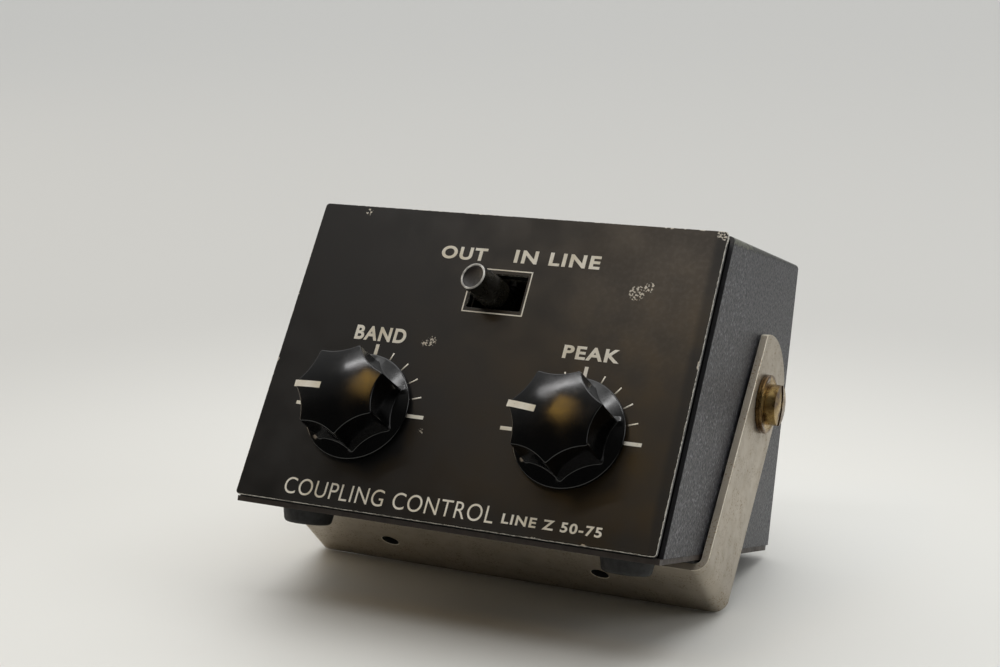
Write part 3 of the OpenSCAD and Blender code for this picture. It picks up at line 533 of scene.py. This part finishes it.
def dial_marks(side):
    """Eleven marks over half a turn: the two ends and the middle are heavier"""
    bm = bmesh.new()
    end, middle, minor = (11.8, 16.5, 0.85), (13.7, 16.4, 0.85), (13.1, 15.4, 0.33)
    for step in range(11):
        angle = 180 - 18 * step
        start, stop, width = end if step in (0, 10) else middle if step == 5 else minor
        bar(bm, on_circle(side, start, angle), on_circle(side, stop, angle), width)
    place_piece(f"{side}_dial_marks", bm, PANEL, [INK], "case")


def switch_border():
    """Printed frame round the lever's opening"""
    half_w, half_h, line = 7.45, 5.45, 0.3
    bm = bmesh.new()
    for s in (-1, 1):
        bar(bm, (-half_w - line / 2, LEVER_Y + s * half_h), (half_w + line / 2, LEVER_Y + s * half_h), line)
        bar(bm, (s * half_w, LEVER_Y - half_h), (s * half_w, LEVER_Y + half_h), line)
    place_piece("switch_border", bm, PANEL, [INK], "case")


def legend(name, text, left, right, low, high, weight):
    """Printed words that fill a box given in millimetres on the plate; a weight over 0 makes them bold"""
    curve = bpy.data.curves.new(name, "FONT")
    curve.body = text
    curve.offset = weight
    curve.extrude = 0.001                # only tells the upper face from the lower one
    curve.space_character = 1.08 if weight < 0 else 1.16
    font = bpy.data.objects.new(name + "_font", curve)
    bpy.context.scene.collection.objects.link(font)
    bpy.context.view_layer.update()
    mesh = bpy.data.meshes.new_from_object(font.evaluated_get(bpy.context.evaluated_depsgraph_get()))
    bpy.data.objects.remove(font)
    bm = bmesh.new()
    bm.from_mesh(mesh)
    bmesh.ops.remove_doubles(bm, verts=bm.verts, dist=1e-5)
    xs = [v.co.x for v in bm.verts]
    ys = [v.co.y for v in bm.verts]
    for v in bm.verts:
        v.co = Vector((
            left + (v.co.x - min(xs)) / (max(xs) - min(xs)) * (right - left),
            low + (v.co.y - min(ys)) / (max(ys) - min(ys)) * (high - low),
            INK_HIGH if v.co.z > 0 else INK_LOW)) * MM
    place_piece(name, bm, PANEL, [INK], "case")


def lettering():
    for name, text, left, right, low, high, weight in (
            ("switch_word_left", "OUT", -16.6, -5.0, 39.6, 42.9, 0.032),
            ("switch_word_right", "IN LINE", 2.0, 23.1, 39.9, 43.2, 0.032),
            ("left_knob_word", "BAND", -32.7, -19.5, 17.2, 20.8, 0.032),
            ("right_knob_word", "PEAK", 19.6, 33.0, 17.9, 21.1, 0.032),
            ("lower_title", "COUPLING CONTROL", -38.9, 13.4, -21.8, -17.9, -0.004),
            ("lower_note", "LINE Z 50-75", 15.4, 38.4, -21.4, -19.1, 0.026)):
        legend(name, text, left, right, low, high, weight)


# ------------------------------------------------------------------ knobs and lever

RIDGE_R = 11.1                           # over the ridges of a knob, at the top
RIM = 0.3                                # rounding of the knob's upper edge
CROWN = 0.9                              # how far the crowned top falls towards its ridges
SKIRT_TOP_R = 12.5                       # outer radius of the skirt's sloping top
SKIRT_TOP = 1.74                         # height of the skirt there
SKIRT_RISE = 0.22                        # slope of the skirt's top towards the flutes
RIGHT_KNOB_TURN = -math.radians(7)       # of the right pointer from nine o'clock


def fluted(angle, flutes=7, dip=0.95, blunt=0.14):
    """Radius of the knob's outline at an angle, a blunt ridge standing at nine o'clock"""
    half = math.pi / flutes
    chord = RIDGE_R * math.sin(half)
    cut = (chord * chord + dip * dip) / (2 * dip)
    at = RIDGE_R * math.cos(half) - dip + cut
    off = (angle - math.pi) % (2 * half) - half
    inside = at * math.cos(off) - math.sqrt(max(cut * cut - (at * math.sin(off)) ** 2, 0.0))
    return -blunt * math.log(math.exp(-inside / blunt) + math.exp(-(RIDGE_R - blunt) / blunt))


def dome(r, top):
    """Height of the knob's crowned top at a radius"""
    return top - CROWN * (r / RIDGE_R) ** 2


def knob(side):
    """Fluted knob with a skirt, skinned from its bore to the middle of its top"""
    top = local_box(f"{side}_knob", PANEL)[1].z / MM
    turn = 0.0 if side == "left" else RIGHT_KNOB_TURN
    count = 7 * 40
    angles = [math.tau * i / count for i in range(count)]

    def loop(radius_at, height_at):
        return [Vector((radius_at(a) * math.cos(a + turn), radius_at(a) * math.sin(a + turn),
                        height_at(a))) * MM for a in angles]

    def flat(r, z):
        return loop(lambda a: r, lambda a: z)

    loops = [flat(r, z) for r, z in (
        (0.8, 10.6), (3.02, 10.6), (3.02, 4.2), (8.4, 4.2), (8.4, 0.6), (12.6, 0.6), (12.8, 0.66),
        (12.9, 0.85), (12.9, 1.4), (12.86, 1.56), (12.72, 1.68), (SKIRT_TOP_R, SKIRT_TOP))]
    for wider, rise in ((0.6, 0.0), (0.46, 0.1), (0.4, 0.35)):
        loops.append(loop(lambda a: fluted(a) + wider,
                          lambda a: SKIRT_TOP + SKIRT_RISE * (SKIRT_TOP_R - fluted(a) - wider) + rise))
    for wider, z in ((0.29, 5.0), (0.16, 8.0), (0.04, 11.3)):
        loops.append(loop(lambda a: fluted(a) + wider, lambda a: z))
    for step in range(6):
        bend = math.radians(18 * step)
        loops.append(loop(
            lambda a: fluted(a) - RIM * (1 - math.cos(bend)),
            lambda a: dome(fluted(a) - RIM, top) - RIM * (1 - math.sin(bend))))
    for share in (0.97, 0.9, 0.78, 0.62, 0.45, 0.28, 0.12, 0.03):
        loops.append(loop(lambda a: (fluted(a) - RIM) * share,
                          lambda a: dome((fluted(a) - RIM) * share, top)))
    place = PANEL.copy()
    place.translation = KNOB[side]
    place_piece(f"{side}_knob_made", rings(bmesh.new(), loops), place, [MATERIALS["knob_plastic"]],
                f"{side}_control", [f"{side}_knob"])
    pointer(side, place, turn, top)


def pointer(side, place, turn, top):
    """White bar let into the crowned top, from the ridge inwards"""
    half, proud, deep = 0.75, 0.03, 0.3
    loops = [[Vector(p) * MM for p in
              ((-r, -half, dome(r, top) + proud), (-r, half, dome(r, top) + proud),
               (-r, half, dome(r, top) - deep), (-r, -half, dome(r, top) - deep))]
             for r in (3.95, 5.5, 7.0, 8.3, 9.4, 10.2, RIDGE_R - RIM)]
    bm = rings(bmesh.new(), loops)
    bmesh.ops.recalc_face_normals(bm, faces=bm.faces)
    bm.transform(Matrix.Rotation(turn, 4, "Z"))
    place_piece(f"{side}_pointer", bm, place, [INK], f"{side}_control")


def lever():
    """Black bat lever: a round stick with a pale painted highlight on the rim round its dished tip, and painted
    shade and warm reflection in the dish
    """
    bm = cad_mesh("switch_lever", PANEL)
    pivot = PANEL.inverted() @ LEVER_PIVOT
    tip = max(bm.faces, key=lambda face: (face.calc_center_median() - pivot).length)
    axis = tip.normal.copy()
    reach = (tip.calc_center_median() - pivot).dot(axis)
    place = axes(LEVER_PIVOT, *(PANEL.to_3x3() @ v for v in
                                (Vector((0, 1, 0)).cross(axis), Vector((0, 1, 0)), axis)))
    top = reach / MM
    low = top - 9.7
    face_r, foot_r, rim, dish_r = 3.25, 3.9, 0.32, 2.76
    side = [(foot_r + (face_r - foot_r) * t, low + (top - rim - low) * t) for t in (0, 0.25, 0.5, 0.75, 1)]
    lip = [(face_r - rim * (1 - math.cos(math.radians(b))), top - rim * (1 - math.sin(math.radians(b))))
           for b in (15, 30, 45, 60, 75, 90)]
    dish = [(2.82, top - 0.05), (2.72, top - 0.22), (2.4, top - 0.48), (1.7, top - 0.72), (0.8, top - 0.84),
            (0.02, top - 0.86), (0.02, low)]
    stick = turned(side + lip + dish, 48)
    for face in stick.faces:
        middle = face.calc_center_median()
        across = Vector((middle.x, middle.y, 0)).length / MM
        on_rim = middle.z / MM > top - rim * 0.8 and across > dish_r
        face.material_index = 1 if on_rim else 2 if across < dish_r else 0
    # Painted highlight: the pale ring on the rounded rim of the tip
    wear_and_highlight = moulded("lever_rim_highlight", srgb(226, 224, 218), 0.3, 0.6, 1.6)
    # Painted shade and reflection: the dish's dark brown stands in for the shade and the warm lamp's reflection in
    # it
    dished = moulded("lever_dish_shade_and_reflection", srgb(22, 14, 8), 0.5, 0.5, 1.2)
    place_piece("switch_lever_tip", stick, place, [MATERIALS["lever_plastic"], wear_and_highlight, dished],
                "lever")
    bm.transform(place.inverted() @ PANEL)
    cut = (low + 0.3) * MM               # the CAD lever is kept below here, just inside the turned stick
    bmesh.ops.bisect_plane(bm, geom=bm.verts[:] + bm.edges[:] + bm.faces[:], dist=1e-7,
                           plane_co=(0, 0, cut), plane_no=(0, 0, 1), clear_outer=True)
    bmesh.ops.holes_fill(bm, edges=[e for e in bm.edges if len(e.link_faces) == 1])
    place_piece("switch_lever_root", bm, place, [MATERIALS["lever_plastic"]],
                "lever", ["switch_lever"])


# ------------------------------------------------------------------ case, bracket, feet, sockets

FACING_FRONT = -0.6                      # y of a normal, below which a face of the cover is its front edge
ARM_FROM = 0.045                         # the bracket's arms lie further out than this
HOLE_REACH = 2.5 * MM                    # a fixing hole's wall and rim lie within this of its middle


def cover():
    """Wrapped cover: its sheared front edge is darker than its faces"""
    bm = soften(cad_mesh("cover", CASE), 0.14)
    for face in bm.faces:
        face.material_index = 1 if face.normal.y < FACING_FRONT else 0
    sheared = moulded("cover_edge", srgb(34, 34, 36), 0.5, 0.3, 1.2)
    place_piece("cover_made", bm, CASE, [MATERIALS["hammer_grey"], sheared], "case", ["cover"])


def bracket():
    """Bent strip: painted highlights on the front edge of its arms and the rims of its holes, and painted shade on
    the walls of its holes
    """
    bm = soften(cad_mesh("bracket", BRACKET), 0.3, 3)
    holes = [BRACKET.inverted() @ hole for hole in FIXING_HOLES]
    for face in bm.faces:
        middle = face.calc_center_median()
        at_hole = min((middle - hole).length for hole in holes) < HOLE_REACH
        flatness = abs(face.normal.z)
        hole_wall = at_hole and flatness < 0.6
        hole_rim = at_hole and flatness < 0.97
        arm_edge = abs(middle.x) > ARM_FROM and face.normal.y < -0.35
        face.material_index = 2 if hole_wall else 1 if hole_rim or arm_edge else 0
    # Painted shade: the walls of the fixing holes are coloured near black
    hole_shade = moulded("hole_painted_shade", srgb(16, 15, 13), 0.7)
    # Painted highlight: a paler nickel on the arms' front edges and the holes' rims
    edge_highlight = plated_steel("nickel_edge_highlight", srgb(232, 224, 206), srgb(176, 140, 84), 0.34, metal=0.4)
    place_piece("bracket_made", bm, BRACKET, [MATERIALS["bracket_steel"], edge_highlight, hole_shade], "bracket",
                ["bracket"])


def feet():
    """Rubber feet: tapered, with a full rounded lower edge and a recess for the screw"""
    for node in ("foot_front_left", "foot_front_right", "foot_rear_left", "foot_rear_right"):
        low, high = local_box(node, CASE)
        middle = (low + high) / 2
        place = CASE @ Matrix.Translation(Vector((middle.x, middle.y, low.z)))
        tall = (high.z - low.z) / MM
        profile = ([(1.55, tall), (1.55, 2.0), (3.0, 2.0), (3.0, 0.2), (3.2, 0.0)]
                   + arc(4.55, 1.1, 1.1, -90, -8, 6) + [(6.05, tall - 0.9), (6.2, tall - 0.25), (6.1, tall)])
        place_piece(f"{node}_made", turned(profile), place, [MATERIALS["rubber"]], "case", [node])


def pivot_washers():
    """Brass washers with a turned groove round the edge and a slightly dished face"""
    low, high = local_box("pivot_washers", CASE)
    thick = 1.5
    for name, sign in (("left", -1), ("right", 1)):
        out = (high.x if sign > 0 else -low.x) / MM
        inn = out - thick
        profile = [(2.52, inn), (6.85, inn), (7.0, inn + 0.15), (7.0, inn + 0.55), (6.8, inn + 0.7),
                   (6.8, inn + 0.82), (7.0, inn + 0.95), (7.0, out - 0.2), (6.86, out - 0.04), (6.6, out),
                   (5.9, out - 0.02), (5.75, out - 0.12), (5.6, out - 0.02), (2.7, out), (2.52, out - 0.12)]
        washer = turned(profile, 72)
        washer.transform(Matrix.Rotation(sign * math.pi / 2, 4, "Y"))
        place_piece(f"{name}_pivot_washer", washer, CASE, [MATERIALS["brass"]], "case",
                    ["pivot_washers"] if sign > 0 else [])


def rear_place(side):
    """Frame of a socket: origin on the case's rear wall, z out of the case"""
    mount = row(frame["record"]["mounts"], f"{side}_socket_barrel")
    out = Vector(mount["axis"])
    mount_height = 8.55                  # of the barrel's mount point over the wall
    wall = Vector(mount["pos_m"]) - out * mount_height * MM
    return axes(wall, -RIGHT, out.cross(-RIGHT), out)


def socket(side):
    """Nickel-plated coaxial socket: square flange, and a barrel with its thread cut"""
    place = rear_place(side)
    half, thick, screw_at, screw_hole_r, barrel_hole_r = 12.7, 1.6, 9.1, 1.55, 6.5
    holes = [arc(i * screw_at, j * screw_at, screw_hole_r, 0, 345, 23) for i in (-1, 1) for j in (-1, 1)]
    holes.append(arc(0, 0, barrel_hole_r, 0, 352.5, 47))
    flange = flat_shape(round_box(-half, -half, half, half, 0.6, 3), holes, 0.0, thick, 0.15)
    place_piece(f"{side}_socket_flange", flange, place, [MATERIALS["socket_nickel"]], "case")
    pitch, deep, start, end, crest_r = 1.058, 0.5, 3.0, 14.9, 7.9

    def thread(angle, z, r):
        """What the thread takes off the barrel's radius at a point, as a negative length"""
        if r < 7.5 or not start - 0.5 < z < end + 0.5:
            return 0.0
        wave = abs(((z / pitch - angle / math.tau) % 1.0) - 0.5) * 2
        fade = min(1.0, max(0.0, (z - start) / 0.8), max(0.0, (end - z) / 0.6))
        return -deep * fade * min(1.0, max(0.0, wave * 1.3 - 0.15))

    steps = 120
    wall = [(crest_r, start + (end - start) * i / steps) for i in range(steps + 1)]
    profile = ([(6.3, -6.0), (7.0, -5.85), (7.1, -5.7), (7.1, 0.1), (7.6, 0.1), (7.6, thick), (crest_r, 1.65)]
               + wall + [(7.75, 15.3), (7.5, 15.5), (6.6, 15.5), (6.3, 15.2)])
    place_piece(f"{side}_socket_barrel", turned(profile, 72, thread), place,
                [MATERIALS["socket_nickel"]], "case", [f"{side}_socket"])


# ------------------------------------------------------------------ stage

def floor():
    """Pale paper with a painted fall-off of light: lighter round the object, darker a long way behind it"""
    bm = bmesh.new()
    half = 6.0
    bmesh.ops.create_grid(bm, x_segments=8, y_segments=8, size=half)
    mesh = bpy.data.meshes.new("floor")
    bm.to_mesh(mesh)
    bm.free()
    f = Finish("floor_paper", srgb(226, 226, 222), 0.5, Specular_IOR_Level=0.3)
    away = f.node("ShaderNodeVectorMath", {0: f.place}, operation="LENGTH").outputs["Value"]
    # Painted light: the floor's tone falls from near the object to a long way off
    painted_falloff = f.span(away, 0.06, 0.33)
    f.set("Base Color", f.mix(painted_falloff, srgb(223, 223, 219), srgb(195, 195, 192)))
    mesh.materials.append(f.material)
    made = bpy.data.objects.new("floor", mesh)
    bpy.context.scene.collection.objects.link(made)


def area_light(name, at, aim, size, power, color=(1, 1, 1), roll=0.0):
    """A rectangular lamp that faces a point, turned by roll degrees about its own axis"""
    lamp = bpy.data.lights.new(name, "AREA")
    lamp.shape = "RECTANGLE"
    lamp.size, lamp.size_y = size
    lamp.energy = power
    lamp.color = color
    made = bpy.data.objects.new(name, lamp)
    bpy.context.scene.collection.objects.link(made)
    made.location = at
    facing = (Vector(aim) - Vector(at)).to_track_quat("-Z", "Y")
    made.rotation_euler = (facing.to_matrix() @ Matrix.Rotation(math.radians(roll), 3, "Z")).to_euler()


def light():
    """Broad soft light above and behind, a room brighter to the upper left, two lamps seen in the knobs"""
    world = bpy.data.worlds.new("studio")
    world.use_nodes = True
    nodes, links = world.node_tree.nodes, world.node_tree.links
    toward = nodes.new("ShaderNodeVectorMath")
    toward.operation = "DOT_PRODUCT"
    toward.inputs[1].default_value = (-0.25, 0.55, 0.75)
    links.new(nodes.new("ShaderNodeTexCoord").outputs["Generated"], toward.inputs[0])
    fall = nodes.new("ShaderNodeMapRange")
    fall.interpolation_type = "SMOOTHSTEP"
    for socket_name, value in (("From Min", 0.25), ("From Max", 0.85), ("To Min", 0.04), ("To Max", 0.9)):
        fall.inputs[socket_name].default_value = value
    links.new(toward.outputs["Value"], fall.inputs["Value"])
    links.new(fall.outputs["Result"], nodes["Background"].inputs["Strength"])
    nodes["Background"].inputs["Color"].default_value = (1.0, 1.0, 0.985, 1.0)
    bpy.context.scene.world = world
    lamp = bpy.data.lights.new("top_soft", "SUN")
    lamp.energy = 1.2
    lamp.angle = math.radians(75)
    top = bpy.data.objects.new("top_soft", lamp)
    bpy.context.scene.collection.objects.link(top)
    top.rotation_euler = Vector((-0.05, 0.5, 1.1)).to_track_quat("Z", "Y").to_euler()
    area_light("right_soft", (1.0, 0.1, 0.65), (0, 0, 0.03), (0.7, 0.5), 2.2)
    area_light("left_soft", (-1.4, -0.25, 0.5), (0, 0, 0), (0.9, 0.6), 3.2, (1.0, 0.82, 0.6))
    area_light("strip_above", (-0.2, -0.8, 2.43), (0, -0.04, 0.05), (2.3, 0.1), 9.5, roll=32)
    area_light("warm_lamp", (-0.93, -1.59, 2.45), (0, -0.04, 0.05), (0.42, 0.42), 2.0, (1.0, 0.58, 0.12))


def camera():
    """Where the photograph was taken from, found from the perspective of the case's edges"""
    data = bpy.data.cameras.new("camera")
    data.sensor_width = 36
    data.lens = 62.7
    data.clip_start = 0.01
    made = bpy.data.objects.new("camera", data)
    bpy.context.scene.collection.objects.link(made)
    made.location = (0.1639, -0.374135, 0.1507)
    made.rotation_euler = (math.radians(90 - 12.756), 0, math.radians(24.775))
    bpy.context.scene.camera = made


camera()
light()
floor()
bpy.context.scene.view_settings.view_transform = "Standard"
for node, cad in frame["nodes"].items():
    cad.data.materials.clear()
    cad.data.materials.append(MATERIALS[SLOT[node]])
front_plate()
lettering()
switch_border()
for hand in ("left", "right"):
    knob(hand)
    dial_marks(hand)
lever()
feet()
pivot_washers()
for hand in ("left", "right"):
    socket(hand)
cover()
softened("base_plate", 0.18, materials=[moulded("base_paint", srgb(64, 56, 51), 0.55, 0.3, 3.0)])
softened("chassis", 0.2)
bracket()
softened("pivot_screws", 0.25, 3)
for node in ("cover_screws", "chassis_screws", "foot_screws", "socket_screws", "spacer_washers"):
    softened(node, 0.12)
